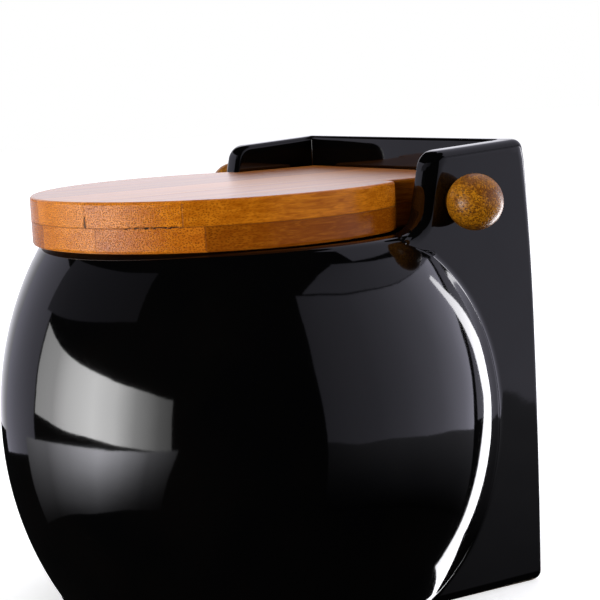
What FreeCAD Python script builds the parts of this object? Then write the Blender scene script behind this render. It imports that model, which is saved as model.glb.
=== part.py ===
import FreeCAD, Part
import math
import os
import Sketcher

# A round-bellied ceramic salt box with a flat back. The block behind the belly rises into two
# cheeks and a back panel. A two-ply bamboo lid turns between the cheeks on two glued wooden
# pins, and a wooden ball is glued on the outer end of each pin.
# +Z is up, -Y is the front, and the origin lies under the middle of the outline, on the table.
# All lengths are in millimetres.
sizes = {
    # pot
    "belly_radius": 66.7,
    "rim_radius": 53.1,
    "base_spread": 2.1,
    "belly_wall": 4.8,
    "floor_thickness": 5.0,
    "rim_width": 7.6,
    "rim_land": 3.0,
    "rim_depth": 10.0,
    "crease_radius": 3.0,
    "base_edge_radius": 2.5,
    # block behind the belly, with its cheeks and back panel: its flat side has at least the side
    # width where the belly is widest, and the cheek stands the foot run behind the crease's end
    "block_inset": 2.1,
    "side_width": 12.0,
    "foot_run": 6.515,
    "panel_thickness": 4.4,
    "cheek_thickness": 7.5,
    "cheek_front_rise": 12.5,
    "panel_rise": 13.7,
    "cheek_foot_reach": 10.6,
    "cheek_top_reach": 6.2,
    "foot_sweep_radius": 4.5,
    "cheek_corner_radius": 5.0,
    "panel_corner_radius": 3.1,
    "outer_edge_radius": 3.0,
    "inner_edge_radius": 1.2,
    "inner_corner_radius": 3.0,
    # hinge
    "hinge_setback": 23.2,
    "hinge_height": 102.2,
    "pin_diameter": 6.0,
    "pin_running_clearance": 0.16,
    "pin_glue_clearance": 0.04,
    "pin_depth_in_lid": 17.0,
    "pin_depth_in_ball": 8.0,
    "pin_end_gap": 0.3,
    "pin_chamfer": 0.5,
    "ball_diameter": 14.0,
    "ball_gap": 0.3,
    # lid
    "lid_inset": 4.1,
    "lid_centre_reach": 38.6,
    "shoulder_reach": 11.4,
    "tongue_gap": 6.7,
    "tongue_tail": 15.3,
    "ply_thickness": 6.25,
    "glue_line_drop": 0.7,
    "lid_rest_gap": 0.25,
    "lid_edge_radius": 0.8,
    # every cut runs past the surface that it leaves by this much
    "overrun": 2.0,
}
# The lid's strips and their first seams right of the middle, as shares of the lid's radius
strip_count = 5
strip_width_share = 0.449
upper_seam_share = 0.314
lower_seam_share = 0.378
# The rounding of the crease takes at most this share of the free run at the rim
crease_room_share = 0.95
full_turn_degrees = 360

doc = FreeCAD.newDocument("salt_box")
sheet = doc.addObject("Spreadsheet::Sheet", "Dimensions")
for row, (alias, value) in enumerate(sizes.items(), start=1):
    sheet.set(f"A{row}", alias)
    sheet.set(f"B{row}", str(value))
    sheet.setAlias(f"B{row}", alias)
doc.recompute()


class Size:
    """A length as a number, with the expression that ties it to the sheet."""

    def __init__(self, value, text):
        self.value = value
        self.text = text

    def join(self, sign, other, value):
        text = other.text if isinstance(other, Size) else str(other)
        return Size(value, f"({self.text} {sign} {text})")

    def __add__(self, other):
        return self.join("+", other, self.value + number(other))

    def __sub__(self, other):
        return self.join("-", other, self.value - number(other))

    def __mul__(self, other):
        return self.join("*", other, self.value * number(other))

    def __truediv__(self, other):
        return self.join("/", other, self.value / number(other))

    def __neg__(self):
        return Size(-self.value, f"(-1 * {self.text})")


def number(size):
    return size.value if isinstance(size, Size) else size


def root(size):
    return Size(size.value**0.5, f"sqrt({size.text})")


def lesser(a, b):
    return Size(min(a.value, b.value), f"min({a.text}; {b.text})")


def larger(a, b):
    return Size(max(a.value, b.value), f"max({a.text}; {b.text})")


def half_turn_slope(cosine):
    """The tangent of half an angle, from the angle's cosine."""
    return root((-cosine + 1) / (cosine + 1))


def named(alias):
    return Size(sizes[alias], f"Dimensions.{alias}")


def bind(thing, prop, size):
    """Ties one property of a document object to the sheet."""
    thing.setExpression(prop, size.text)


nothing = Size(0, "0")

# Places that several pieces share
block_half = named("rim_radius") - named("block_inset")
crease_offset = root(named("belly_radius") * named("belly_radius") - block_half * block_half)
crease_end = root(named("rim_radius") * named("rim_radius") - block_half * block_half)
hinge_offset = crease_end + named("foot_run") + named("cheek_foot_reach")
back_offset = larger(hinge_offset + named("hinge_setback"), crease_offset + named("side_width"))
belly_y = (named("belly_radius") - back_offset) / 2
back_y = belly_y + back_offset
hinge_y = belly_y + hinge_offset
hinge_z = named("hinge_height")
glue_line_z = hinge_z - named("glue_line_drop")
lid_top_z = glue_line_z + named("ply_thickness")
lid_bottom_z = glue_line_z - named("ply_thickness")
rim_z = lid_bottom_z - named("lid_rest_gap")
panel_top_z = hinge_z + named("panel_rise")
panel_inner_y = back_y - named("panel_thickness")
floor_z = named("floor_thickness")
slot_half = block_half - named("cheek_thickness")
tongue_half = slot_half - named("tongue_gap")
mouth_radius = named("rim_radius") - named("rim_width")
lid_radius = named("rim_radius") - named("lid_inset")
pin_radius = named("pin_diameter") / 2
glued_bore_radius = pin_radius + named("pin_glue_clearance") / 2
running_bore_radius = pin_radius + named("pin_running_clearance") / 2
pin_inner_x = tongue_half - named("pin_depth_in_lid")
ball_inner_x = block_half + named("ball_gap")
ball_x = ball_inner_x + named("ball_diameter") / 2
ball_bore_x = ball_inner_x + named("pin_depth_in_ball")
pin_outer_x = ball_bore_x - named("pin_end_gap")

# The belly's outline is an ellipse about the pot's axis, through the edge of the base and the rim
rim_share = named("rim_radius") / named("belly_radius")
base_share = (block_half + named("base_spread")) / named("belly_radius")
rise_share = root(-(rim_share * rim_share) + 1)
drop_share = root(-(base_share * base_share) + 1)
belly_half_height = rim_z / (rise_share + drop_share)
equator_z = belly_half_height * drop_share
inner_radius = named("belly_radius") - named("belly_wall")
inner_half_height = belly_half_height - named("belly_wall")


def reach_at(radius, half_height, z):
    """How far from the pot's axis the ellipse with these half axes is, at a height."""
    rise = z - equator_z
    return root(-((rise * rise) / (half_height * half_height)) + 1) * radius


def new_body(name):
    body = doc.addObject("PartDesign::Body", name)
    body.Label = name
    return body


def new_sketch(body, name, plane, across=nothing, up=nothing, out=nothing):
    """A sketch on one of the body's own planes, moved in that plane and along its normal."""
    sketch = body.newObject("Sketcher::SketchObject", name)
    support = [f for f in body.Origin.OriginFeatures if f.Role == plane][0]
    sketch.AttachmentSupport = [(support, "")]
    sketch.MapMode = "FlatFace"
    bind(sketch, "AttachmentOffset.Base.x", across)
    bind(sketch, "AttachmentOffset.Base.y", up)
    bind(sketch, "AttachmentOffset.Base.z", out)
    return sketch


def tie(sketch, kind, places, size):
    """Adds a dimension to a sketch and ties it to the sheet."""
    index = sketch.addConstraint(Sketcher.Constraint(kind, *places, size.value))
    sketch.setExpression(f"Constraints[{index}]", size.text)


def tie_point(sketch, edge, end, point):
    tie(sketch, "DistanceX", (-1, 1, edge, end), point[0])
    tie(sketch, "DistanceY", (-1, 1, edge, end), point[1])


def vector(point):
    return FreeCAD.Vector(point[0].value, point[1].value, 0)


def add_line(sketch, start, end):
    return sketch.addGeometry(Part.LineSegment(vector(start), vector(end)), False)


def join_ends(sketch, edges):
    """Joins the end of each edge to the start of the next one, and the last to the first."""
    for edge, following in zip(edges, edges[1:] + edges[:1]):
        sketch.addConstraint(Sketcher.Constraint("Coincident", edge, 2, following, 1))


def add_path(sketch, curve, corners):
    """Closes a curve, whose ends are already tied, with straight lines through the corners."""
    edge, start, end = curve
    points = [end] + corners + [start]
    lines = [add_line(sketch, a, b) for a, b in zip(points, points[1:])]
    join_ends(sketch, [edge] + lines)
    for line, corner in zip(lines[1:], corners):
        tie_point(sketch, line, 1, corner)


def add_polygon(sketch, corners):
    edges = [add_line(sketch, a, b) for a, b in zip(corners, corners[1:] + corners[:1])]
    join_ends(sketch, edges)
    for edge, corner in zip(edges, corners):
        tie_point(sketch, edge, 1, corner)


def add_circle(sketch, radius):
    circle = Part.Circle(FreeCAD.Vector(), FreeCAD.Vector(0, 0, 1), radius.value)
    edge = sketch.addGeometry(circle, False)
    sketch.addConstraint(Sketcher.Constraint("Coincident", edge, 3, -1, 1))
    tie(sketch, "Radius", (edge,), radius)


def add_belly_curve(sketch, radius, half_height, low, high):
    """The part of an ellipse about the pot's axis between two heights."""
    centre = (nothing, equator_z)
    crown = (nothing, equator_z + half_height)
    left_side = (-radius, equator_z)
    right_side = (radius, equator_z)
    is_upright = half_height.value > radius.value
    long_end, short_end = (crown, left_side) if is_upright else (right_side, crown)
    ellipse = Part.Ellipse(vector(long_end), vector(short_end), vector(centre))
    start = (reach_at(radius, half_height, low), low)
    end = (reach_at(radius, half_height, high), high)
    first = ellipse.parameter(vector(start))
    last = ellipse.parameter(vector(end))
    edge = sketch.addGeometry(Part.ArcOfEllipse(ellipse, first, last + (last < first) * math.tau), False)
    sketch.exposeInternalGeometry(edge)
    long_axis = edge + 1
    short_axis = edge + 2
    upright_axis, level_axis = (long_axis, short_axis) if is_upright else (short_axis, long_axis)
    tie_point(sketch, edge, 3, centre)
    sketch.addConstraint(Sketcher.Constraint("Vertical", upright_axis))
    tie(sketch, "Distance", (upright_axis,), half_height * 2)
    tie(sketch, "Distance", (level_axis,), radius * 2)
    tie(sketch, "DistanceY", (-1, 1, edge, 1), low)
    tie(sketch, "DistanceY", (-1, 1, edge, 2), high)
    return edge, start, end


def add_feature(body, kind, name, sketch, **settings):
    feature = body.newObject(f"PartDesign::{kind}", name)
    feature.Profile = sketch
    for key, setting in settings.items():
        setattr(feature, key, setting)
    return feature


def add_edge_feature(body, kind, name, prop, size, wanted):
    """Rounds or bevels the edges of the body so far that the test wants."""
    doc.recompute()
    base = body.Tip
    edges = [f"Edge{i}" for i, e in enumerate(base.Shape.Edges, start=1) if wanted(e)]
    if not edges:
        raise RuntimeError(f"{name}: no edge found")
    feature = body.newObject(f"PartDesign::{kind}", name)
    feature.Base = (base, edges)
    bind(feature, prop, size)
    doc.recompute()
    return feature


def add_fillet(body, name, radius, wanted):
    return add_edge_feature(body, "Fillet", name, "Radius", radius, wanted)


near = 0.001 * sizes["belly_radius"]


def close(a, b):
    return abs(a - b) < near


def edge_points(edge):
    """The ends and two inner points of an edge."""
    first, last = edge.FirstParameter, edge.LastParameter
    shares = (0.0, 0.3, 0.7, 1.0)
    return [edge.valueAt(first + share * (last - first)) for share in shares]


def is_tall(points):
    return abs(points[0].z - points[-1].z) > near


def axis_reach(point):
    return math.hypot(point.x, point.y - belly_y.value)


def across_at(y, z):
    """A test for an edge that runs straight across the part at one depth and height."""
    return lambda edge: all(close(p.y, y.value) and close(p.z, z.value) for p in edge_points(edge))


def upright_at(x, y):
    """A test for an upright edge on either side of the part."""

    def wanted(edge):
        points = edge_points(edge)
        return is_tall(points) and all(close(abs(p.x), x.value) and close(p.y, y.value) for p in points)

    return wanted


def level_at(z):
    """A test for an edge that lies in one level plane."""
    return lambda edge: all(close(p.z, z.value) for p in edge_points(edge))


def on_rim(radius):
    """A test for an edge on a circle about the pot's axis, at the rim's height."""
    level = level_at(rim_z)
    return lambda edge: level(edge) and all(close(axis_reach(p), radius.value) for p in edge_points(edge))


def on_crease(edge):
    """The curve in which the belly meets a side face of the block."""

    def lies(point):
        reach = reach_at(named("belly_radius"), belly_half_height, Size(point.z, ""))
        return close(abs(point.x), block_half.value) and close(axis_reach(point), reach.value)

    points = edge_points(edge)
    return is_tall(points) and all(lies(p) and p.y > belly_y.value for p in points)


# The room inside the pot: a hollow that follows the belly, and a straight shaft behind it that
# runs up between the cheeks
inside = new_body("inside")
mouth_top_z = rim_z + named("overrun")
lip_low_z = rim_z - named("rim_depth")
lip_high_z = rim_z - named("rim_land")
hollow_sketch = new_sketch(inside, "hollow_outline", "YZ_Plane", across=belly_y)
hollow_curve = add_belly_curve(hollow_sketch, inner_radius, inner_half_height, floor_z, lip_low_z)
hollow_corners = [
    (mouth_radius, lip_high_z),
    (mouth_radius, mouth_top_z),
    (nothing, mouth_top_z),
    (nothing, floor_z),
]
add_path(hollow_sketch, hollow_curve, hollow_corners)
hollow = add_feature(inside, "Revolution", "hollow", hollow_sketch, Angle=full_turn_degrees)
hollow.ReferenceAxis = (hollow_sketch, ["V_Axis"])

hollow_trim_sketch = new_sketch(inside, "hollow_trim_outline", "YZ_Plane")
hollow_trim_corners = [
    (panel_inner_y, nothing),
    (panel_inner_y, panel_top_z),
    (panel_inner_y + named("belly_radius"), panel_top_z),
    (panel_inner_y + named("belly_radius"), nothing),
]
add_polygon(hollow_trim_sketch, hollow_trim_corners)
hollow_trim = add_feature(inside, "Pocket", "hollow_trim", hollow_trim_sketch, SideType="Symmetric")
bind(hollow_trim, "Length", named("belly_radius") * 2)

shaft_top_z = panel_top_z + named("overrun")
shaft_sketch = new_sketch(inside, "shaft_outline", "YZ_Plane")
shaft_corners = [
    (belly_y, floor_z),
    (belly_y, shaft_top_z),
    (panel_inner_y, shaft_top_z),
    (panel_inner_y, floor_z),
]
add_polygon(shaft_sketch, shaft_corners)
shaft = add_feature(inside, "Pad", "shaft", shaft_sketch, SideType="Symmetric")
bind(shaft, "Length", slot_half * 2)
add_fillet(inside, "inner_corner", named("inner_corner_radius"), upright_at(slot_half, panel_inner_y))

# The pot, as a block with a round belly on its front
pot = new_body("ceramic_body")
cheek_foot = (hinge_y - named("cheek_foot_reach"), rim_z)
cheek_top = (hinge_y - named("cheek_top_reach"), hinge_z + named("cheek_front_rise"))
panel_top = (back_y, panel_top_z)
block_sketch = new_sketch(pot, "block_outline", "YZ_Plane")
block_corners = [
    (belly_y, nothing),
    (belly_y, rim_z),
    cheek_foot,
    cheek_top,
    panel_top,
    (back_y, nothing),
]
add_polygon(block_sketch, block_corners)
block = add_feature(pot, "Pad", "block", block_sketch, SideType="Symmetric")
bind(block, "Length", block_half * 2)
add_fillet(pot, "foot_sweep", named("foot_sweep_radius"), across_at(*cheek_foot))
add_fillet(pot, "cheek_corner", named("cheek_corner_radius"), across_at(*cheek_top))
add_fillet(pot, "panel_corner", named("panel_corner_radius"), across_at(*panel_top))

belly_sketch = new_sketch(pot, "belly_outline", "YZ_Plane", across=belly_y)
belly_curve = add_belly_curve(belly_sketch, named("belly_radius"), belly_half_height, nothing, rim_z)
add_path(belly_sketch, belly_curve, [(nothing, rim_z), (nothing, nothing)])
belly = add_feature(pot, "Revolution", "belly", belly_sketch, Angle=full_turn_degrees)
belly.ReferenceAxis = (belly_sketch, ["V_Axis"])

# The back is flat, so what the round belly would leave behind it goes
back_trim_sketch = new_sketch(pot, "back_trim_outline", "YZ_Plane")
back_trim_corners = [
    (back_y, -named("overrun")),
    (back_y, shaft_top_z),
    (back_y + named("belly_radius"), shaft_top_z),
    (back_y + named("belly_radius"), -named("overrun")),
]
add_polygon(back_trim_sketch, back_trim_corners)
back_trim = add_feature(pot, "Pocket", "back_trim", back_trim_sketch, SideType="Symmetric")
bind(back_trim, "Length", named("belly_radius") * 2)

# The rounding of the crease ends at the rim short of the sweep at the cheek's foot
lean = cheek_top[0] - cheek_foot[0]
climb = cheek_top[1] - cheek_foot[1]
sweep_reach = named("foot_sweep_radius") * half_turn_slope(lean / root(lean * lean + climb * climb))
free_run = named("foot_run") - sweep_reach
belly_share = named("belly_radius") / belly_half_height
rim_pull = (rim_z - equator_z) * belly_share * belly_share
rim_normal = root(named("rim_radius") * named("rim_radius") + rim_pull * rim_pull)
crease_slope = root((rim_pull / crease_end) * (rim_pull / crease_end) + 1)
crease_limit = free_run / (crease_slope * half_turn_slope(block_half / rim_normal))
crease_radius = lesser(named("crease_radius"), crease_limit * crease_room_share)
add_fillet(pot, "crease", crease_radius, on_crease)

doc.recompute()
room = pot.newObject("PartDesign::Boolean", "room")
room.setObjects([inside])
room.Type = "Cut"
doc.recompute()

mouth_corner_y = belly_y + root(mouth_radius * mouth_radius - slot_half * slot_half)
add_fillet(pot, "mouth_corner", named("crease_radius"), upright_at(slot_half, mouth_corner_y))
add_fillet(pot, "outer_edge", named("outer_edge_radius"), on_rim(named("rim_radius")))
add_fillet(pot, "inner_edge", named("inner_edge_radius"), on_rim(mouth_radius))
add_fillet(pot, "base_edge", named("base_edge_radius"), level_at(nothing))

pot_bore_sketch = new_sketch(pot, "pin_bore_outline", "YZ_Plane", across=hinge_y, up=hinge_z)
add_circle(pot_bore_sketch, running_bore_radius)
pot_bore = add_feature(pot, "Pocket", "pin_bore", pot_bore_sketch, SideType="Symmetric")
bind(pot_bore, "Length", (block_half + named("overrun")) * 2)

# The lid's two boards, one glued on the other, both with the same outline: a disc at the front
# with a step behind it to the narrower tongue between the cheeks
lid_centre_y = hinge_y - named("lid_centre_reach")
shoulder_y = hinge_y - named("shoulder_reach")
tail_y = hinge_y + named("tongue_tail")
shoulder_rise = shoulder_y - lid_centre_y
shoulder_x = root(lid_radius * lid_radius - shoulder_rise * shoulder_rise)
boards = {"upper": (glue_line_z, lid_top_z), "lower": (lid_bottom_z, lid_bottom_z)}
seams = {"upper": lid_radius * upper_seam_share, "lower": lid_radius * lower_seam_share}
strip_width = lid_radius * strip_width_share
subparts = [pot]

for ply, (low_z, edge_z) in boards.items():
    board = new_body(f"{ply}_board")
    outline = new_sketch(board, f"{ply}_outline", "XY_Plane", out=low_z)
    disc = Part.Circle(vector((nothing, lid_centre_y)), FreeCAD.Vector(0, 0, 1), lid_radius.value)
    shoulder_angle = math.atan2(shoulder_rise.value, shoulder_x.value)
    disc_arc = Part.ArcOfCircle(disc, math.pi - shoulder_angle, math.tau + shoulder_angle)
    arc = outline.addGeometry(disc_arc, False)
    tie_point(outline, arc, 3, (nothing, lid_centre_y))
    tie(outline, "Radius", (arc,), lid_radius)
    tie(outline, "DistanceY", (-1, 1, arc, 1), shoulder_y)
    tie(outline, "DistanceY", (-1, 1, arc, 2), shoulder_y)
    tongue_corners = [
        (tongue_half, shoulder_y),
        (tongue_half, tail_y),
        (-tongue_half, tail_y),
        (-tongue_half, shoulder_y),
    ]
    add_path(outline, (arc, (-shoulder_x, shoulder_y), (shoulder_x, shoulder_y)), tongue_corners)
    plate = add_feature(board, "Pad", f"{ply}_plate", outline)
    bind(plate, "Length", named("ply_thickness"))
    add_fillet(board, f"{ply}_edge", named("lid_edge_radius"), level_at(edge_z))

    bore_starts = {
        "left": -(tongue_half + named("overrun")),
        "right": pin_inner_x - named("pin_end_gap"),
    }
    for side, start_x in bore_starts.items():
        bore_sketch = new_sketch(board, f"{ply}_{side}_bore_outline", "YZ_Plane", hinge_y, hinge_z, start_x)
        add_circle(bore_sketch, glued_bore_radius)
        bore = add_feature(board, "Pocket", f"{ply}_{side}_bore", bore_sketch, Reversed=True)
        bind(bore, "Length", named("pin_depth_in_lid") + named("pin_end_gap") + named("overrun"))

    # Each board is glued up from strips side by side
    far_x = lid_radius + named("overrun")
    front_y = lid_centre_y - far_x
    inner_seams = [seams[ply] + strip_width * (i - 2) for i in range(strip_count - 1)]
    cuts = [-far_x] + inner_seams + [far_x]
    for i in range(strip_count):
        bar = doc.addObject("Part::Box", f"{ply}_bar_{i + 1}")
        bind(bar, "Length", cuts[i + 1] - cuts[i])
        bind(bar, "Width", tail_y + named("overrun") - front_y)
        bind(bar, "Height", named("ply_thickness"))
        bind(bar, "Placement.Base.x", cuts[i])
        bind(bar, "Placement.Base.y", front_y)
        bind(bar, "Placement.Base.z", low_z)
        strip = doc.addObject("Part::Common", f"lid_{ply}_strip_{i + 1}")
        strip.Label = f"lid_{ply}_strip_{i + 1}"
        strip.Base = board
        strip.Tool = bar
        subparts.append(strip)

# The pins and their balls
for side, sign in (("left", -1), ("right", 1)):
    pin = new_body(f"hinge_pin_{side}")
    pin_start_x = pin_inner_x if sign > 0 else -pin_outer_x
    pin_sketch = new_sketch(pin, f"{side}_pin_outline", "YZ_Plane", hinge_y, hinge_z, pin_start_x)
    add_circle(pin_sketch, pin_radius)
    rod = add_feature(pin, "Pad", f"{side}_rod", pin_sketch)
    bind(rod, "Length", pin_outer_x - pin_inner_x)
    rod_ends = f"{side}_rod_ends"
    add_edge_feature(pin, "Chamfer", rod_ends, "Size", named("pin_chamfer"), lambda edge: edge.isClosed())
    subparts.append(pin)

    sphere = doc.addObject("Part::Sphere", f"{side}_sphere")
    bind(sphere, "Radius", named("ball_diameter") / 2)
    bind(sphere, "Placement.Base.x", ball_x * sign)
    drill = doc.addObject("Part::Cylinder", f"{side}_drill")
    bind(drill, "Radius", glued_bore_radius)
    bind(drill, "Height", named("pin_depth_in_ball") + named("overrun"))
    bind(drill, "Placement.Base.x", (ball_inner_x - named("overrun")) * sign)
    for solid in (sphere, drill):
        solid.Placement.Rotation = FreeCAD.Rotation(FreeCAD.Vector(0, 0, 1), FreeCAD.Vector(sign, 0, 0))
        bind(solid, "Placement.Base.y", hinge_y)
        bind(solid, "Placement.Base.z", hinge_z)
    ball = doc.addObject("Part::Cut", f"hinge_ball_{side}")
    ball.Label = f"hinge_ball_{side}"
    ball.Base = sphere
    ball.Tool = drill
    subparts.append(ball)

doc.recompute()
for thing in doc.Objects:
    if "Invalid" in thing.State or "Error" in thing.State:
        raise RuntimeError(f"{thing.Name}: {thing.State}")
for piece in subparts:
    if piece.Shape.isNull() or not piece.Shape.isValid() or len(piece.Shape.Solids) != 1:
        raise RuntimeError(f"{piece.Label}: not one valid solid")

os.makedirs("parts", exist_ok=True)
for piece in subparts:
    piece.Shape.exportStep(f"parts/{piece.Label}.step")
    print(piece.Label, round(piece.Shape.Volume), "cubic millimetres")
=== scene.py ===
import math

import bmesh
import bpy
from mathutils import Matrix, Vector


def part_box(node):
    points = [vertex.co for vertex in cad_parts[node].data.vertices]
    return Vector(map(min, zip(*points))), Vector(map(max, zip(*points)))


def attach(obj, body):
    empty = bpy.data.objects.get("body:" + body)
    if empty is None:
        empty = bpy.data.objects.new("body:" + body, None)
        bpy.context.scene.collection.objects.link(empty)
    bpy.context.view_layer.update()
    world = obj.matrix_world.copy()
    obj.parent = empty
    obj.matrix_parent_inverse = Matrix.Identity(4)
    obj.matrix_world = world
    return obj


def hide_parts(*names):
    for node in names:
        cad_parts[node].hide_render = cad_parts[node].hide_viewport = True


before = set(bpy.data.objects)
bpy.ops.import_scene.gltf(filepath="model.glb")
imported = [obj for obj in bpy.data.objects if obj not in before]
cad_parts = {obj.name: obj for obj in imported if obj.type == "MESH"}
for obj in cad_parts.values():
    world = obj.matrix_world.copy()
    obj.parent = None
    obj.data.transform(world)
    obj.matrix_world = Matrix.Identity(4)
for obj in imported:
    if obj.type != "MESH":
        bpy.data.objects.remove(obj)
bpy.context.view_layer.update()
scene = bpy.context.scene
print("frame loaded:", len(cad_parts), "nodes")


# shader maths: a wire is one output socket, and sums of wires add their own nodes
class Wire:
    def __init__(self, tree, socket=None):
        self.tree = tree
        self.socket = socket

    def add(self, kind, settings=None, sockets=None, output=0):
        node = self.tree.nodes.new(kind)
        for name, value in (settings or {}).items():
            if name == "stops":
                ramp = node.color_ramp
                while len(ramp.elements) < len(value):
                    ramp.elements.new(0.5)
                for element, (place, colour) in zip(ramp.elements, value):
                    element.position = place
                    element.color = colour
            else:
                setattr(node, name, value)
        for name, value in (sockets or {}).items():
            if isinstance(value, Wire):
                self.tree.links.new(value.socket, node.inputs[name])
            else:
                node.inputs[name].default_value = value
        return Wire(self.tree, node.outputs[output])

    def maths(self, operation, a, b=0.0, c=0.0):
        return self.add("ShaderNodeMath", {"operation": operation}, {0: a, 1: b, 2: c})

    def __add__(self, other):
        return self.maths("ADD", self, other)

    def __sub__(self, other):
        return self.maths("SUBTRACT", self, other)

    def __mul__(self, other):
        return self.maths("MULTIPLY", self, other)

    def __pow__(self, other):
        return self.maths("POWER", self, other)

    def __radd__(self, other):
        return self.maths("ADD", other, self)

    def __rsub__(self, other):
        return self.maths("SUBTRACT", other, self)

    def __rmul__(self, other):
        return self.maths("MULTIPLY", other, self)

    def step(self, low, high):  # 0 below low, 1 above high, smooth between
        return self.add(
            "ShaderNodeMapRange",
            {"interpolation_type": "SMOOTHSTEP"},
            {"Value": self, "From Min": low, "From Max": high},
        )

    def blend(self, a, b):  # colour a where this wire is 0, b where it is 1
        return self.add("ShaderNodeMix", {"data_type": "RGBA"}, {0: self, 6: a, 7: b}, 2)

    def stretch(self, scale, shift=(0, 0, 0)):
        return self.add("ShaderNodeMapping", {}, {"Vector": self, "Scale": scale, "Location": shift})

    def noise(self, scale, detail=2.0, rough=0.5, distortion=0.0):
        values = {"Vector": self, "Scale": scale, "Detail": detail, "Roughness": rough}
        values["Distortion"] = distortion
        return self.add("ShaderNodeTexNoise", {}, values)

    def axes(self):
        split = self.add("ShaderNodeSeparateXYZ", {}, {"Vector": self})
        return [Wire(self.tree, out) for out in split.socket.node.outputs]


def newFinish(name):
    finish = bpy.data.materials.new(name)
    finish.use_nodes = True
    shader = finish.node_tree.nodes["Principled BSDF"]
    place = Wire(finish.node_tree).add("ShaderNodeTexCoord", {}, {}, "Object")
    return finish, shader, place


def feed(finish, shader, **values):  # constants go on the socket itself
    for name, value in values.items():
        socket = shader.inputs[name.replace("_", " ")]
        if isinstance(value, Wire):
            finish.node_tree.links.new(value.socket, socket)
        else:
            socket.default_value = value


def bump(height, strength, distance):
    return height.add("ShaderNodeBump", {}, {"Strength": strength, "Distance": distance, "Height": height})


# mesh helpers, all in millimetres until the piece is finished
def drawChain(bm, places):
    chain = [bmesh.ops.create_vert(bm, co=places[0])["vert"][0]]
    for place in places[1:]:
        corner = bmesh.ops.extrude_vert_indiv(bm, verts=[chain[-1]])["verts"][0]
        corner.co = place
        chain.append(corner)
    return chain


def extrudeRow(bm, row, places):
    edges = [bm.edges.get((a, b)) for a, b in zip(row, row[1:])]
    made = bmesh.ops.extrude_edge_only(bm, edges=edges)["geom"]
    fresh = {item for item in made if isinstance(item, bmesh.types.BMVert)}
    newRow = []
    for corner, place in zip(row, places):
        twin = next(e.other_vert(corner) for e in corner.link_edges if e.other_vert(corner) in fresh)
        twin.co = place
        newRow.append(twin)
    return newRow


def edgesOf(bm, *chains):
    return [bm.edges.get(pair) for chain in chains for pair in zip(chain, chain[1:])]


def joinEnds(bm, first, last, places):
    chain = [first]
    for place in places:
        corner = bmesh.ops.extrude_vert_indiv(bm, verts=[chain[-1]])["verts"][0]
        corner.co = place
        chain.append(corner)
    bmesh.ops.contextual_create(bm, geom=[chain[-1], last])
    return chain + [last]


def finishPiece(bm, name, body, finish, node):
    bmesh.ops.remove_doubles(bm, verts=bm.verts, dist=0.002)
    bmesh.ops.recalc_face_normals(bm, faces=bm.faces)
    bmesh.ops.scale(bm, vec=Vector((0.001, 0.001, 0.001)), verts=bm.verts)
    for face in bm.faces:
        face.smooth = True
    mesh = bpy.data.meshes.new(name)
    bm.to_mesh(mesh)
    bm.free()
    piece = bpy.data.objects.new(name, mesh)
    scene.collection.objects.link(piece)
    mesh.materials.append(finish)
    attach(piece, body)
    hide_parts(node)
    print("made", name, "with", len(mesh.polygons), "faces")
    return piece


# the pot's glaze
glazeSpec = {
    "colour": (0.0008, 0.0008, 0.0009, 1.0),
    "warm": (0.0014, 0.0012, 0.0011, 1.0),
    "clay": (0.42, 0.36, 0.29, 1.0),
    "roughness": 0.035,
    "ripple": 0.00016,
}


def glazeFinish(spec):
    finish, shader, place = newFinish("blackGlaze")
    cloud = place.noise(38.0, 3.0)
    ripple = place.noise(55.0, 1.0)
    dimple = place.noise(420.0, 2.0)
    speck = place.noise(1900.0, 1.0).step(0.76, 0.80)
    foot = place.axes()[2].step(0.00035, 0.0001)  # the underside stands on bare clay
    clayGrain = place.noise(900.0, 4.0)
    clay = clayGrain.blend(spec["clay"], (0.30, 0.25, 0.20, 1.0))
    glaze = (cloud.step(0.35, 0.75)).blend(spec["colour"], spec["warm"])
    glaze = (speck * 0.08).blend(glaze, (0.05, 0.045, 0.04, 1.0))
    feed(
        finish,
        shader,
        Base_Color=foot.blend(glaze, clay),
        Roughness=spec["roughness"] + cloud * 0.02 + dimple * 0.012 + foot * 0.7,
        IOR=1.52,
        Normal=bump(ripple + dimple * 0.02 + foot * clayGrain * 0.2, 1.0, spec["ripple"]),
    )
    return finish


# the pot
potSpec = {
    "axisY": 5.8,  # upright axis of the belly
    "bellyRadius": 66.7,
    "bellyHalfHeight": 78.49,
    "bellyMiddle": 47.5,
    "rimHeight": 95.0,
    "sideX": 51.0,
    "creaseSetback": 1.4,
    "backY": 60.9,
    "backBow": 1.07,
    "backCorner": 1.2,
    "backCornerTop": 3.4,
    "cheekLean": ((27.1, 95.0), (31.5, 114.7)),  # foot and top of the cheek's front, y and z
    "panelTop": (60.9, 116.1),
    "cheekCorner": 5.0,
    "rimRound": 1.63,
    "cheekRound": 3.0,
    "panelRound": 2.5,
    "innerRound": 1.2,
    "baseRound": 2.5,
    "mouthRadius": 45.5,
    "innerX": 43.5,
    "innerSetback": 2.86,
    "innerBackY": 56.5,
    "innerCorner": 0.3,
    "innerRadius": 61.9,
    "innerHalfHeight": 73.69,
    "floorZ": 5.0,
    "pinHole": (37.7, 102.2, 3.08),
    "arcColumns": 56,
    "creaseColumns": 10,
    "cornerColumns": 6,
    "backColumns": (46.0, 44.0, 38.0, 30.0, 20.0, 10.0, 0.0),
    "support": 0.3,
}


def ovalRadius(spec, z, radius, halfHeight):
    return radius * math.sqrt(1 - ((z - spec["bellyMiddle"]) / halfHeight) ** 2)


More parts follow.
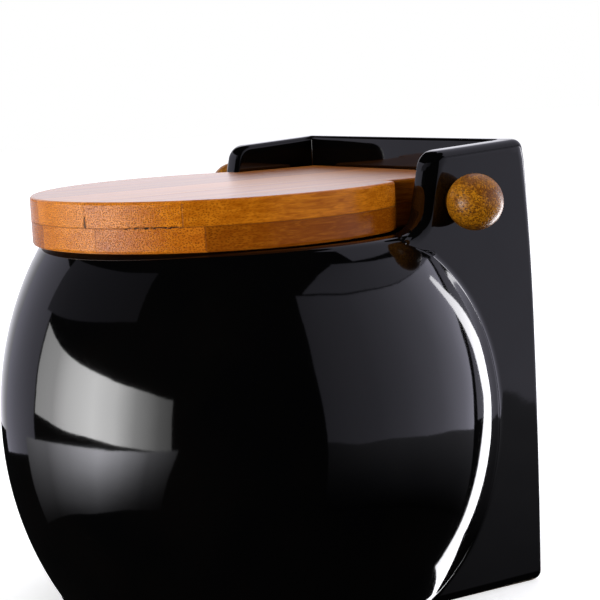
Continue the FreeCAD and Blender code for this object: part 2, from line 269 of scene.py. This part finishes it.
def planCurve(spec, z, r, sideX, setback):
    # from the front round the belly, then through the crease's rounding on to the flat side
    edge = math.sqrt(r * r - sideX * sideX)
    flat = edge + setback
    rho = (flat * flat - edge * edge) / (2 * (r - sideX))
    cx, cy = sideX + rho, flat
    turn = math.pi / 2 + math.atan2(cy, cx)
    n, m = spec["arcColumns"], spec["creaseColumns"]
    places = []
    for i in range(n + 1):
        a = turn * i / n
        places.append(Vector((r * math.sin(a), spec["axisY"] - r * math.cos(a), z)))
    lean = math.atan2(cy, cx)
    for i in range(1, m + 1):
        a = math.pi + lean * (1 - i / m)
        places.append(Vector((cx + rho * math.cos(a), spec["axisY"] + cy + rho * math.sin(a), z)))
    return places


def backCurve(spec, z, sideX, backY, corner, columns):
    # round the upright corner, then along the back to the middle
    n = spec["cornerColumns"]
    places = []
    for i in range(n + 1):
        a = math.pi / 2 * i / n
        places.append(Vector((sideX - corner + corner * math.cos(a), backY - corner + corner * math.sin(a), z)))
    return places + [Vector((x * (sideX - corner) / 47.6, backY, z)) for x in columns]


def outerBack(spec, z):
    bow = spec["backBow"] * (1 - ((z - 50) / 66) ** 2)
    top = max(0.0, (z - 70) / 46) ** 2
    corner = spec["backCorner"] + (spec["backCornerTop"] - spec["backCorner"]) * top
    return backCurve(spec, z, spec["sideX"], spec["backY"] + bow, corner, spec["backColumns"])


def cheekLine(spec):
    # the cheek's outline from the rim: sweep, leaning front, corner, top; y, z and its direction
    (footY, footZ), (topY, topZ) = spec["cheekLean"]
    lean = Vector((topY - footY, topZ - footZ)).normalized()
    panel = Vector((spec["panelTop"][0] - topY, spec["panelTop"][1] - topZ)).normalized()
    start = planCurve(
        spec,
        footZ,
        ovalRadius(spec, footZ, spec["bellyRadius"], spec["bellyHalfHeight"]),
        spec["sideX"],
        spec["creaseSetback"],
    )[-1].y
    sweepTurn = math.atan2(lean.y, lean.x)
    sweep = (footY - start) / math.tan(sweepTurn / 2)
    line = []
    for i in range(1, 11):
        a = sweepTurn * i / 10
        line.append((start + sweep * math.sin(a), footZ + sweep * (1 - math.cos(a)), math.cos(a), math.sin(a)))
    cornerTurn = sweepTurn - math.atan2(panel.y, panel.x)
    reach = spec["cheekCorner"] * math.tan(cornerTurn / 2)
    cornerStart = Vector((topY, topZ)) - lean * reach
    for i in range(1, 6):
        y = line[9][0] + (cornerStart.x - line[9][0]) * i / 6
        z = line[9][1] + (cornerStart.y - line[9][1]) * i / 6
        line.append((y, z, lean.x, lean.y))
    inward = Vector((lean.y, -lean.x))
    centre = cornerStart + inward * spec["cheekCorner"]
    for i in range(11):
        a = cornerTurn * i / 10
        spoke = lean * math.sin(a) - inward * math.cos(a)
        along = Vector((spoke.y, -spoke.x))
        spot = centre + spoke * spec["cheekCorner"]
        line.append((spot.x, spot.y, along.x, along.y))
    endY = spec["panelTop"][0] - spec["backCornerTop"]
    y0, z0 = line[-1][0], line[-1][1]
    for i in range(1, 9):
        y = y0 + (endY - y0) * i / 8
        line.append((y, z0 + (y - y0) * panel.y / panel.x, panel.x, panel.y))
    return line


def roundOff(corner, toA, toB, reach, share):
    # a point on the circle that rounds a corner off, from the side of toA to the side of toB
    weight = math.sqrt(max(0.0, (1 - toA.dot(toB)) / 2))
    a, b, c = (1 - share) ** 2, 2 * weight * share * (1 - share), share**2
    return ((corner + toA * reach) * a + corner * b + (corner + toB * reach) * c) / (a + b + c)


def ridgeStations(spec):
    # along the whole upper edge: outer corner, way down outside, reach outside, inner corner, way down inside
    rim = spec["rimHeight"]
    down = Vector((0, 0, -1))
    stations = []

    def outerRing(z):
        r = ovalRadius(spec, z, spec["bellyRadius"], spec["bellyHalfHeight"])
        return planCurve(spec, z, r, spec["sideX"], spec["creaseSetback"])

    upper, lower = outerRing(rim), outerRing(rim - 0.4)
    inner = planCurve(spec, rim, spec["mouthRadius"], spec["innerX"], spec["innerSetback"])
    last = len(upper) - 1
    for i in range(last + 1):
        along = (upper[min(i + 1, last)] - upper[max(i - 1, 0)]).normalized()
        if i == last:
            along = Vector((0, 1, 0))
        if i == 0:
            along = Vector((1, 0, 0))
        normal = along.cross(lower[i] - upper[i]).normalized()
        way = normal.cross(along).normalized()
        if way.z > 0:
            way = -way
        share = max(0.0, (i - spec["arcColumns"]) / spec["creaseColumns"])
        share = share * share * (3 - 2 * share)
        reach = spec["rimRound"] + (spec["cheekRound"] - spec["rimRound"]) * share
        stations.append((upper[i], way, reach, inner[i], down))
    line = cheekLine(spec)
    topStart, topEnd = line[-9][0], line[-1][0]
    innerEnd = spec["innerBackY"] - spec["innerCorner"]
    for y, z, ty, tz in line:
        way = Vector((0, tz, -ty))
        innerY = y
        if y > topStart:
            innerY = topStart + (y - topStart) * (innerEnd - topStart) / (topEnd - topStart)
        outer, inner = Vector((spec["sideX"], y, z)), Vector((spec["innerX"], innerY, z))
        stations.append((outer, way, spec["cheekRound"], inner, way))
    endZ = line[-1][1]
    panelZ = spec["panelTop"][1]
    outer = backCurve(spec, panelZ, spec["sideX"], spec["backY"], spec["backCornerTop"], spec["backColumns"])
    inner = backCurve(spec, panelZ, spec["innerX"], spec["innerBackY"], spec["innerCorner"], spec["backColumns"])
    n = spec["cornerColumns"]
    for i in range(1, len(outer)):
        share = min(1.0, i / n)
        z = endZ + (panelZ - endZ) * math.sin(share * math.pi / 2)
        reach = spec["cheekRound"] + (spec["panelRound"] - spec["cheekRound"]) * share
        outer[i].z = inner[i].z = z
        stations.append((outer[i], down, reach, inner[i], down))
    return stations


def makePot(spec, finish):
    bm = bmesh.new()
    stations = ridgeStations(spec)
    sideAt = spec["arcColumns"] + spec["creaseColumns"]  # where the flat side starts
    backAt = len(stations) - len(spec["backColumns"]) - spec["cornerColumns"] - 1
    outerSteps, innerSteps = 7, 5
    ridge = drawChain(bm, [p + way * reach for p, way, reach, q, wayIn in stations])
    row = ridge
    for k in range(1, outerSteps + 1):
        places = []
        for p, way, reach, q, wayIn in stations:
            places.append(roundOff(p, way, (q - p).normalized(), reach, k / outerSteps))
        row = extrudeRow(bm, row, places)
    for k in range(innerSteps + 1):
        places = []
        for p, way, reach, q, wayIn in stations:
            places.append(roundOff(q, (p - q).normalized(), wayIn, spec["innerRound"], k / innerSteps))
        row = extrudeRow(bm, row, places)
    innerRidge = row

    # outside: belly and crease, then corner and back, then the flat side between them
    levels = [90.5 - 88.0 * i / 54 for i in range(55)]
    row = ridge[: sideAt + 1]
    creaseEdge = [row[-1]]
    for z in levels:
        r = ovalRadius(spec, z, spec["bellyRadius"], spec["bellyHalfHeight"])
        row = extrudeRow(bm, row, planCurve(spec, z, r, spec["sideX"], spec["creaseSetback"]))
        creaseEdge.append(row[-1])
    bellyFoot = row
    row = ridge[backAt:]
    backEdge = [row[0]]
    for z in [111.0, 108.0, 104.0, 98.0] + levels[::2]:
        row = extrudeRow(bm, row, outerBack(spec, z))
        backEdge.append(row[0])
    backFoot = row
    z = levels[-1]
    y0, y1 = bellyFoot[-1].co.y, backFoot[0].co.y
    between = [Vector((spec["sideX"], y0 + (y1 - y0) * i / 8, z)) for i in range(1, 8)]
    sideFoot = joinEnds(bm, bellyFoot[-1], backFoot[0], between)
    outerLoop = edgesOf(bm, creaseEdge, sideFoot, backEdge, ridge[sideAt : backAt + 1])
    side = bmesh.ops.edgeloop_fill(bm, edges=outerLoop)["faces"][0]

    # base edge, rounded on to the underside
    ring = bellyFoot + sideFoot[1:-1] + backFoot
    spots = [v.co.copy() for v in ring]
    outward = []
    for i in range(len(spots)):
        along = spots[min(i + 1, len(spots) - 1)] - spots[max(i - 1, 0)]
        if i in (0, len(spots) - 1):
            along = Vector((1 if i == 0 else -1, 0, 0))
        outward.append(Vector((along.y, -along.x, 0)).normalized())
    row = ring
    for k in range(1, 6):
        a = math.pi / 2 * k / 5
        inset, drop = spec["baseRound"] * (1 - math.cos(a)), spec["baseRound"] * math.sin(a)
        row = extrudeRow(bm, row, [s - o * inset + Vector((0, 0, -drop)) for s, o in zip(spots, outward)])
    bmesh.ops.contextual_create(bm, geom=[row[0], row[-1]])
    under = bmesh.ops.edgeloop_fill(bm, edges=edgesOf(bm, row, [row[0], row[-1]]))["faces"]

    # inside: lip, hollow, then the shaft between the cheeks and the floor
    inner = [(92.0, spec["mouthRadius"]), (91.2, 46.0), (89.5, 48.1), (87.0, 51.1), (85.4, 52.8)]
    for i in range(17):
        z = 84.0 - (84.0 - spec["floorZ"]) * i / 16
        inner.append((z, ovalRadius(spec, z, spec["innerRadius"], spec["innerHalfHeight"])))
    row = innerRidge[: sideAt + 1]
    innerCrease = [row[-1]]
    for z, r in inner:
        row = extrudeRow(bm, row, planCurve(spec, z, r, spec["innerX"], spec["innerSetback"]))
        innerCrease.append(row[-1])
    hollowFoot = row
    row = innerRidge[backAt:]
    innerBack = [row[0]]
    for z in (112.0, 100.0, 80.0, 55.0, 30.0, spec["floorZ"]):
        places = backCurve(spec, z, spec["innerX"], spec["innerBackY"], spec["innerCorner"], spec["backColumns"])
        row = extrudeRow(bm, row, places)
        innerBack.append(row[0])
    shaftFoot = row
    y0, y1 = hollowFoot[-1].co.y, shaftFoot[0].co.y
    between = [Vector((spec["innerX"], y0 + (y1 - y0) * i / 6, spec["floorZ"])) for i in range(1, 6)]
    innerFoot = joinEnds(bm, hollowFoot[-1], shaftFoot[0], between)
    innerLoop = edgesOf(bm, innerCrease, innerFoot, innerBack, innerRidge[sideAt : backAt + 1])
    innerSide = bmesh.ops.edgeloop_fill(bm, edges=innerLoop)["faces"][0]
    floorRow = hollowFoot + innerFoot[1:-1] + shaftFoot
    bmesh.ops.contextual_create(bm, geom=[floorRow[0], floorRow[-1]])
    floor = bmesh.ops.edgeloop_fill(bm, edges=edgesOf(bm, floorRow, [floorRow[0], floorRow[-1]]))["faces"]

    # the flat sides keep a narrow margin, and the pin's hole goes through both
    holeY, holeZ, holeR = spec["pinHole"]
    holes = []
    for face, x in ((side, spec["sideX"]), (innerSide, spec["innerX"])):
        bmesh.ops.inset_region(bm, faces=[face], thickness=spec["support"], use_even_offset=True, use_boundary=True)
        border = list(face.edges)
        bmesh.ops.delete(bm, geom=[face], context="FACES_ONLY")
        turned = Matrix.Translation((x, holeY, holeZ)) @ Matrix.Rotation(math.pi / 2, 4, "Y")
        circle = bmesh.ops.create_circle(bm, segments=32, radius=holeR + spec["support"], matrix=turned)["verts"]
        rim = list({e for v in circle for e in v.link_edges})
        bmesh.ops.triangle_fill(bm, edges=border + rim, use_beauty=True)
        made = bmesh.ops.extrude_edge_only(bm, edges=rim)["geom"]
        shrink = holeR / (holeR + spec["support"])
        bmesh.ops.scale(
            bm,
            vec=(1, shrink, shrink),
            space=Matrix.Translation((-x, -holeY, -holeZ)),
            verts=[item for item in made if isinstance(item, bmesh.types.BMVert)],
        )
        holes += [item for item in made if isinstance(item, bmesh.types.BMEdge) and len(item.link_faces) == 1]
    bmesh.ops.bridge_loops(bm, edges=holes)
    bmesh.ops.triangulate(bm, faces=under + floor)
    bmesh.ops.mirror(bm, geom=bm.verts[:] + bm.edges[:] + bm.faces[:], axis="X", merge_dist=0.001)
    return finishPiece(bm, "glazedPot", "pot", finish, "ceramic_body")


makePot(potSpec, glazeFinish(glazeSpec))


# bamboo lid: strips keep their own shapes, each with its own piece of cane
bambooSpec = {
    "pale": (0.70, 0.225, 0.010, 1.0),
    "deep": (0.36, 0.088, 0.002, 1.0),
    "dark": (0.075, 0.014, 0.0005, 1.0),
    "red": (0.40, 0.088, 0.010, 1.0),
    "open": (0.012, 0.004, 0.001, 1.0),
    "edgeRoughness": 0.19,
    "topRoughness": 0.32,
    "glueZ": 0.1015,
    "glueOpen": (0.0315, -0.0384, 0.009),  # where the boards have come apart: x, y and how far
    "crack": (0.0156, -0.03, 0.1046),  # a split end at the front: x, the y it starts from, its top
    # each strip from left to right: how pale, how red, how dark
    "upper": ((0.02, 0.1, 0.1), (0.0, 0.3, 0.15), (0.14, 0.0, 0.0), (0.06, 0.25, 0.0), (0.02, 0.0, 0.15)),
    "lower": ((-0.05, 0.3, 0.2), (0.0, 0.4, 0.3), (0.09, 0.1, 0.0), (-0.02, 0.4, 0.06), (-0.16, 0.3, 0.55)),
}


def bambooFinish(name, spec, shift, pale, red, shade, low, high):
    finish, shader, place = newFinish(name)
    x, y, z = place.axes()
    turned = place.add("ShaderNodeTexCoord", {}, {}, "Normal").axes()
    cutEnd = turned[1].maths("ABSOLUTE", turned[1]).step(0.1, 0.95)
    topside = turned[2].maths("ABSOLUTE", turned[2]).step(0.4, 0.9)
    slow = place.stretch((30.0, 9.0, 30.0), shift)
    wander = (slow.noise(1.0, 2.0) - 0.5) * 0.006
    across = place.add("ShaderNodeCombineXYZ", {}, {0: x + wander, 1: y * 0.03, 2: z + wander * 0.7})
    across = across.stretch((1, 1, 1), shift)
    fibre = across.noise(2300.0, 2.0, 0.6)
    streak = across.noise(700.0, 2.0, 0.55)
    band = across.noise(150.0, 2.0)
    line = across.noise(330.0, 3.0, 0.7)
    ends = place.add("ShaderNodeCombineXYZ", {}, {0: x + wander, 1: z + wander * 0.7}).stretch((1, 1, 1), shift)
    packing = {"Vector": ends, "Scale": 2200.0, "Randomness": 0.75}
    cells = ends.add("ShaderNodeTexVoronoi", {"voronoi_dimensions": "2D"}, packing)
    vessel = cells.step(0.37, 0.18)  # cut ends of the fibre bundles
    long = place.add("ShaderNodeCombineXYZ", {}, {0: x * 0.3, 1: y * 0.13, 2: z + wander * 0.4})
    figure = long.stretch((1, 1, 1), shift).noise(1250.0, 2.0, 0.6, 0.8)
    cloud = slow.noise(1.7, 3.0)
    tone = fibre * 0.35 + streak * 0.45 + band * 0.35 + cloud * 0.35 - 0.28 + pale
    tone = tone + (figure - 0.5) * (1 - cutEnd * 0.6) * (1 - topside * 0.85) * (1.1 + red)
    tone = tone + ((line - 0.5) * 0.5 + (fibre - 0.5) * 0.4) * topside  # long straight grain on the flat faces
    colour = tone.step(0.1, 0.85).blend(spec["deep"], spec["pale"])
    colour = (cloud.step(0.3, 0.75) * red).blend(colour, spec["red"])
    dots = vessel * (0.6 + 0.4 * streak.step(0.35, 0.6)) * (0.12 + 0.88 * cutEnd)
    colour = (dots * (0.85 - shade * 0.6) + shade).blend(colour, spec["dark"])
    # the glue line between the boards and the seams between strips, open in places
    gap = place.stretch((420.0, 420.0, 60.0), shift).noise(1.0, 2.0)
    openX, openY, openReach = spec["glueOpen"]
    apart = ((x - openX) ** 2.0 + (y - openY) ** 2.0).step(openReach**2, openReach**2 * 0.7)
    near = (z - spec["glueZ"]).maths("ABSOLUTE", z - spec["glueZ"])
    glue = near.step(0.00020, 0.00008) * 0.35
    glue = glue.maths("MAXIMUM", glue, near.step(0.00030, 0.00016) * apart * gap.step(0.46, 0.52))
    edge = (x - low).maths("MINIMUM", x - low, high - x)
    seam = edge.step(0.00016, 0.00004) * 0.3
    crackX, crackY, crackZ = spec["crack"]
    ragged = (place.noise(900.0, 2.0) - 0.5) * 0.0012 + x - crackX
    crack = ragged.maths("ABSOLUTE", ragged).step(0.00038, 0.00016) * z.step(crackZ, crackZ - 0.0006)
    crack = crack * z.step(spec["glueZ"] - 0.0001, spec["glueZ"]) * y.step(crackY, crackY - 0.001)
    joint = glue.maths("MAXIMUM", glue, seam.maths("MAXIMUM", seam, crack * 0.85))
    gloss = topside * (spec["topRoughness"] - spec["edgeRoughness"]) + spec["edgeRoughness"]
    feed(
        finish,
        shader,
        Base_Color=joint.blend(colour, spec["open"]),
        Roughness=gloss + fibre * 0.08 + joint * 0.3,
        IOR=1.5,
        Specular_IOR_Level=0.2,
        Coat_Weight=topside,
        Coat_Roughness=0.27,
        Normal=bump(fibre * 0.5 + streak * 0.4 + line * topside * 6.0 - dots * 0.5 - joint * 2.0, 0.6, 0.0001),
    )
    return finish


def dress(node, finish):
    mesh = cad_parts[node].data
    mesh.materials.clear()
    mesh.materials.append(finish)


for ply in ("upper", "lower"):
    for i, (pale, red, shade) in enumerate(bambooSpec[ply], start=1):
        node = f"lid_{ply}_strip_{i}"
        shift = (0.37 * i, 0.11 * i * i, 0.9 * (ply == "lower") + 0.23 * i)
        lo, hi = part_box(node)
        left = lo[0] if i > 1 else -1.0  # the outer strips have one seam
        right = hi[0] if i < 5 else 1.0
        dress(node, bambooFinish(f"bamboo_{ply}_{i}", bambooSpec, shift, pale, red, shade, left, right))
print("lid strips dressed")


# pins and balls
ballSpec = {
    "radius": 7.0,
    "bore": 3.02,
    "depth": 8.0,
    "gap": 0.3,
    "pale": (0.42, 0.16, 0.005, 1.0),
    "deep": (0.15, 0.045, 0.002, 1.0),
    "dark": (0.04, 0.012, 0.001, 1.0),
}


def ballFinish(spec):
    finish, shader, place = newFinish("lacqueredBall")
    x, y, z = place.axes()
    moved = place.add("ShaderNodeCombineXYZ", {}, {0: x * 0.5, 1: y, 2: z})
    pores = moved.noise(2300.0, 2.0, 0.6)
    flecks = moved.noise(1200.0, 2.0, 0.6)
    cloud = place.noise(130.0, 2.0)
    cells = moved.add("ShaderNodeTexVoronoi", {}, {"Vector": moved, "Scale": 2700.0, "Randomness": 0.9})
    tone = (pores * 0.75 + flecks * 0.5 + cloud * 0.5 - 0.36).step(0.40, 0.63)
    colour = tone.blend(spec["deep"], spec["pale"])
    dots = cells.step(0.55, 0.2) * flecks.step(0.36, 0.56)
    feed(
        finish,
        shader,
        Base_Color=(dots * 0.9).blend(colour, spec["dark"]),
        Roughness=0.28 + pores * 0.16,
        Specular_IOR_Level=0.35,
        Normal=bump(pores - dots * 0.8, 0.5, 0.0001),
        Coat_Weight=0.2,
        Coat_Roughness=0.12,
    )
    return finish


pinSpec = {
    "pale": (0.515, 0.238, 0.061, 1.0),
    "deep": (0.216, 0.076, 0.0144, 1.0),
}


def pinFinish(spec):
    finish, shader, place = newFinish("pinWood")
    x, y, z = place.axes()
    moved = place.add("ShaderNodeCombineXYZ", {}, {0: x * 0.06, 1: y, 2: z})
    grain = moved.noise(1300.0, 3.0, 0.6)
    feed(
        finish,
        shader,
        Base_Color=grain.step(0.3, 0.7).blend(spec["deep"], spec["pale"]),
        Roughness=0.5 + grain * 0.15,
        Normal=bump(grain, 0.4, 0.0001),
    )
    return finish


def makeBall(spec, side, finish):
    sign = 1 if side == "right" else -1
    lo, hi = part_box(f"hinge_ball_{side}")
    centre = (Vector(lo) + Vector(hi)) * 500
    centre.x = sign * (potSpec["sideX"] + spec["gap"] + spec["radius"])
    bm = bmesh.new()
    r, bore = spec["radius"], spec["bore"]
    openAngle = math.asin(bore / r)
    bottom = -r + spec["depth"]
    profile = [Vector((bottom, 0, 0)), Vector((bottom, 0, bore))]
    for i in range(41):
        a = math.pi - openAngle - (math.pi - openAngle) * i / 40
        profile.append(Vector((r * math.cos(a), 0, r * math.sin(a))))
    chain = drawChain(bm, profile)
    edges = edgesOf(bm, chain)
    bmesh.ops.spin(bm, geom=chain + edges, cent=(0, 0, 0), axis=(1, 0, 0), angle=math.tau, steps=64, use_merge=True)
    bmesh.ops.scale(bm, vec=Vector((sign, 1, 1)), verts=bm.verts)
    bmesh.ops.translate(bm, vec=centre, verts=bm.verts)
    return finishPiece(bm, f"hingeBall_{side}", "lid", finish, f"hinge_ball_{side}")


ballWood = ballFinish(ballSpec)
pinWood = pinFinish(pinSpec)
for side in ("left", "right"):
    makeBall(ballSpec, side, ballWood)
    dress(f"hinge_pin_{side}", pinWood)


# light cards round the pot, a soft light above, floor and camera
cardSpec = {
    # corners as azimuth and elevation: foot left, foot right, top right, top left
    # then how bright the foot stays, how cool the light is, how far off it stands,
    # and radiance from left to right
    "softbox": (
        (-141, -5.5), (-66, -9.5), (-64, 6.8), (-141, 13), 1.0, 0.0, 1.2,
        ((0, 2.2), (0.18, 3.6), (0.3, 6.9), (0.5, 11), (0.64, 9.5), (0.78, 4.4), (0.92, 1.7), (1, 1.1)),
    ),
    "tableGlow": (
        (-150, -26), (-75, -27), (-63, -9), (-150, -11), 0.04, 0.3, 1.2,
        ((0, 0.5), (0.2, 1.2), (0.37, 3.5), (0.56, 7), (0.7, 5), (0.86, 1.3), (1, 0.4)),
    ),
    "window": (
        (-146, 14), (-88, 28), (-88, 46), (-146, 30), 1.0, 0.8, 1.2,
        ((0, 0.14), (1, 0.09)),
    ),
    "room": (
        (-178, -14), (-142, -14), (-142, 26), (-178, 26), 1.0, 0.8, 1.23,
        ((0, 0.5), (1, 0.4)),
    ),
    "greyCard": (
        (0, -9.5), (82, -13.5), (84, 22), (-4, 39), 1.0, 0.8, 1.2,
        ((0, 0.26), (0.3, 0.42), (0.47, 0.6), (0.72, 0.92), (0.9, 1.4), (1, 1.9)),
    ),
    "greyTop": (
        (0, 39), (84, 22), (70, 32), (24, 46), 1.0, 0.8, 1.2,
        ((0, 0.3), (0.5, 0.45), (1, 0.6)),
    ),
    "ceiling": (
        (38, 43), (150, 13), (150, 66), (38, 64), 1.0, 0.8, 1.23,
        ((0, 0.5), (0.3, 0.5), (0.6, 0.5), (1, 0.55)),
    ),
    "tableDim": (
        (0, -30), (85, -30), (82, -13.5), (0, -9.5), 0.0, 0.5, 1.2,
        ((0, 0.08), (0.4, 0.22), (1, 0.24)),
    ),
    "backdropTop": (
        (89, 0), (96.5, 0), (78.5, 20), (76.5, 20), 1.0, 0.2, 1.17,
        ((0, 8), (1, 8)),
    ),
    "backdropWaist": (
        (92.5, -9), (113, -9), (96.5, 0), (89, 0), 1.0, 0.2, 1.17,
        ((0, 8), (1, 8)),
    ),
    "backdropFoot": (
        (86.5, -40), (116, -40), (113, -9), (92.5, -9), 1.0, 0.2, 1.17,
        ((0, 8), (1, 8)),
    ),
    "farWall": (
        (127, -12), (186, -12), (186, 26), (127, 26), 1.0, 0.35, 1.2,
        ((0, 1.0), (0.3, 1.25), (0.5, 1.2), (0.8, 0.95), (1, 0.45)),
    ),
    "farGrey": (
        (86, -12), (127, -12), (127, 30), (86, 30), 1.0, 0.8, 1.26,
        ((0, 0.5), (1, 0.6)),
    ),
}


def addCard(name, footLeft, footRight, topRight, topLeft, foot, cool, radius, stops, middle=0.07):
    bm = bmesh.new()
    bm.loops.layers.uv.new("UVMap")
    bmesh.ops.create_grid(bm, x_segments=16, y_segments=4, size=0.5, calc_uvs=True)
    for v in bm.verts:
        across, up = v.co.x + 0.5, v.co.y + 0.5
        azimuth, rise = (
            (footLeft[i] * (1 - across) + footRight[i] * across) * (1 - up)
            + (topLeft[i] * (1 - across) + topRight[i] * across) * up
            for i in (0, 1)
        )
        a = math.radians(azimuth)
        height = middle + radius * math.tan(math.radians(rise))
        v.co = (radius * math.cos(a), radius * math.sin(a), height)
    mesh = bpy.data.meshes.new(name)
    bm.to_mesh(mesh)
    bm.free()
    card = bpy.data.objects.new(name, mesh)
    scene.collection.objects.link(card)
    finish, shader, place = newFinish(name)
    across, up, _ = place.add("ShaderNodeTexCoord", {}, {}, "UV").axes()
    peak = max(value for _, value in stops)
    tint = (1 - 0.05 * cool, 1 - 0.07 * cool, 1 + 0.18 * cool)
    ramp = [(at, tuple(v / peak * t for t in tint) + (1,)) for at, v in stops]
    glow = across.add("ShaderNodeValToRGB", {"stops": ramp}, {"Fac": across})
    feed(
        finish,
        shader,
        Base_Color=(0, 0, 0, 1),
        Specular_IOR_Level=0.0,
        Emission_Color=(up**1.5 * (1 - foot) + foot).blend((0, 0, 0, 1), glow),
        Emission_Strength=peak,
    )
    mesh.materials.append(finish)
    card.visible_camera = False
    card.visible_shadow = False


for name, values in cardSpec.items():
    addCard(name, *values)

lampSpec = {
    # azimuth, elevation, distance, size across, energy: they light the wood and aren't mirrored in the glaze
    "overhead": (150.0, 80.0, 1.25, 1.0, 9.0),
    "front": (-78.0, 9.0, 1.2, 0.6, 6.4),
    "right": (18.0, 10.0, 1.2, 0.3, 7.0),
}


def addLamp(name, azimuth, rise, distance, size, energy):
    lamp = bpy.data.lights.new(name, "AREA")
    lamp.shape = "DISK"
    lamp.size = size
    lamp.energy = energy
    light = bpy.data.objects.new(name, lamp)
    scene.collection.objects.link(light)
    a, e = math.radians(azimuth), math.radians(rise)
    way = Vector((math.cos(a) * math.cos(e), math.sin(a) * math.cos(e), math.sin(e)))
    stand = Matrix.Translation(way * distance + Vector((0, 0, 0.08)))
    light.matrix_world = stand @ way.to_track_quat("Z", "Y").to_matrix().to_4x4()
    light.visible_camera = False
    light.visible_glossy = False


for name, values in lampSpec.items():
    addLamp(name, *values)

floorBm = bmesh.new()
bmesh.ops.create_grid(floorBm, x_segments=4, y_segments=4, size=2.5)
floorMesh = bpy.data.meshes.new("floor")
bmesh.ops.translate(floorBm, vec=(0, 0, -0.0002), verts=floorBm.verts)
floorBm.to_mesh(floorMesh)
floorBm.free()
floor = bpy.data.objects.new("floor", floorMesh)
scene.collection.objects.link(floor)
floorFinish, floorShader, floorPlace = newFinish("paleFloor")
# the floor glows white from its own emission, but within 0.1 to 0.6 m of the middle it glows dimmer grey: a painted
# shade round the pot's foot
away = floorPlace.add("ShaderNodeVectorMath", {"operation": "LENGTH"}, {0: floorPlace}, "Value")
feed(
    floorFinish,
    floorShader,
    Base_Color=floorPlace.noise(30.0, 3.0).blend((0.80, 0.80, 0.80, 1), (0.86, 0.86, 0.86, 1)),
    Roughness=0.8,
    Emission_Color=away.step(0.1, 0.6).blend((0.6, 0.6, 0.6, 1), (1, 1, 1, 1)),
    Emission_Strength=1.0,
)
floorMesh.materials.append(floorFinish)
floor.visible_glossy = False
floor.visible_diffuse = False
floor.visible_shadow = False

world = bpy.data.worlds.new("studio")
scene.world = world
world.use_nodes = True
sky = world.node_tree.nodes["Background"]
seen = Wire(world.node_tree).add("ShaderNodeLightPath", {}, {}, "Is Camera Ray")
world.node_tree.links.new((seen * 0.996 + 0.004).socket, sky.inputs["Strength"])
sky.inputs["Color"].default_value = (1, 1, 1, 1)

cameraSpec = {
    "place": (0.39545, -0.22622, 0.13946),
    "right": (0.53735258, 0.84178248, -0.05152144),
    "up": (-0.08887268, 0.11727093, 0.98911535),
    "ahead": (-0.83866194, 0.52692484, -0.1378273),
    "lens": 104.517,
}
lens = bpy.data.cameras.new("photoView")
lens.lens = cameraSpec["lens"]
lens.sensor_width = 36
lens.clip_start = 0.01
camera = bpy.data.objects.new("photoView", lens)
scene.collection.objects.link(camera)
columns = [Vector(cameraSpec["right"]), Vector(cameraSpec["up"]), -Vector(cameraSpec["ahead"])]
turn = Matrix([[c[i] for c in columns] for i in range(3)]).to_4x4()
camera.matrix_world = Matrix.Translation(cameraSpec["place"]) @ turn
scene.camera = camera
scene.view_settings.view_transform = "Standard"
print("stage ready")
